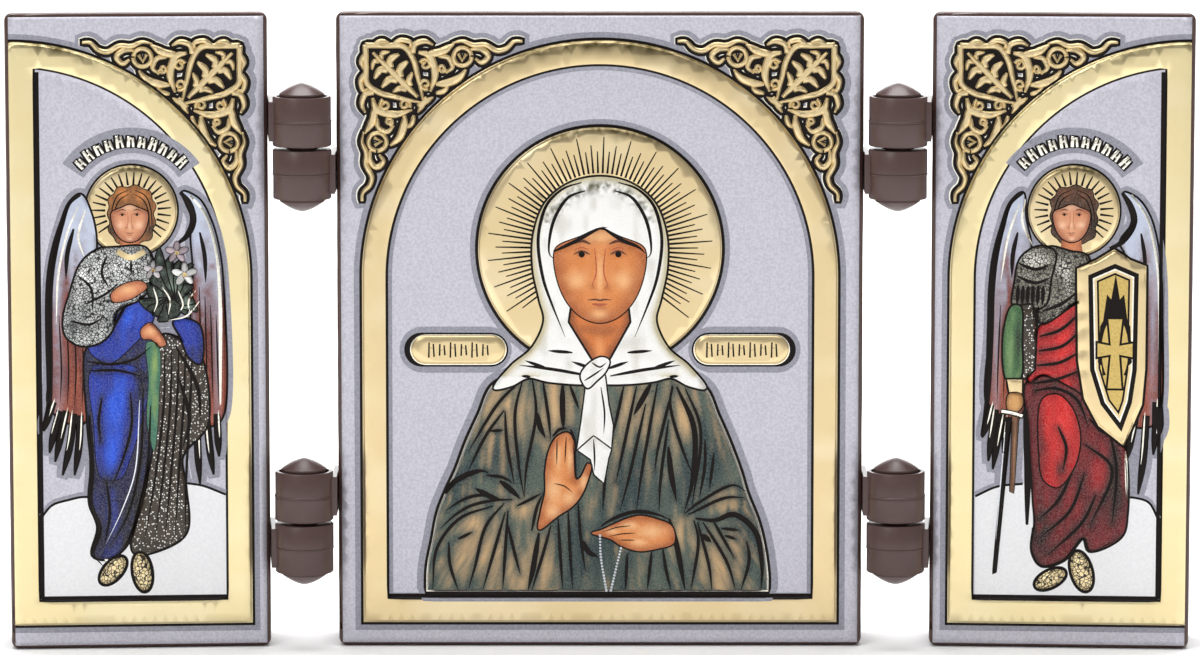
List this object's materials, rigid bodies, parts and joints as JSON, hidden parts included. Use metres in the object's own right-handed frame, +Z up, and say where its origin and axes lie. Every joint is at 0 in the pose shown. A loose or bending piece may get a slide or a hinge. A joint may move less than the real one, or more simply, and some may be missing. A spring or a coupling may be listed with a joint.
{
  "type": "folding triptych icon",
  "caption": "Small folding triptych icon: a centre board and two hinged wings faced with embossed printed sheets, arch borders and haloed figures, on plastic barrel hinges.",
  "frame": {"origin": "centre of the centre board's underside, on the surface the icon stands on", "axes": "+Z up, -Y towards the viewer of the front, +X to the viewer's right along the boards"},
  "size_m": [0.1304, 0.0136, 0.07],
  "materials": {
    "board_paint": "brown painted fibreboard, semi-matt, rubbed at the arrises",
    "printed_sheet": "embossed foil sheet printed in lavender grey, gold, black and picture colours, satin",
    "hinge_plastic": "brown moulded plastic, satin, with fine mould lines"
  },
  "bodies": {
    "centre": {"centre_board": "board_paint", "centre_icon": "printed_sheet", "upper_left_centre_leaf": "hinge_plastic", "upper_left_pin": "hinge_plastic", "lower_left_centre_leaf": "hinge_plastic", "lower_left_pin": "hinge_plastic", "upper_right_centre_leaf": "hinge_plastic", "upper_right_pin": "hinge_plastic", "lower_right_centre_leaf": "hinge_plastic", "lower_right_pin": "hinge_plastic"},
    "left_wing": {"left_board": "board_paint", "left_icon": "printed_sheet", "upper_left_wing_leaf": "hinge_plastic", "lower_left_wing_leaf": "hinge_plastic"},
    "right_wing": {"right_board": "board_paint", "right_icon": "printed_sheet", "upper_right_wing_leaf": "hinge_plastic", "lower_right_wing_leaf": "hinge_plastic"}
  },
  "joints": [
    {"name": "left_hinge", "type": "hinge", "parent": "centre", "child": "left_wing", "pos_m": [-0.03242, -0.0058, 0.035], "axis": [0, 0, 1], "range_deg": [-41, 176]},
    {"name": "right_hinge", "type": "hinge", "parent": "centre", "child": "right_wing", "pos_m": [0.03242, -0.0058, 0.035], "axis": [0, 0, -1], "range_deg": [-41, 176]}
  ]
}
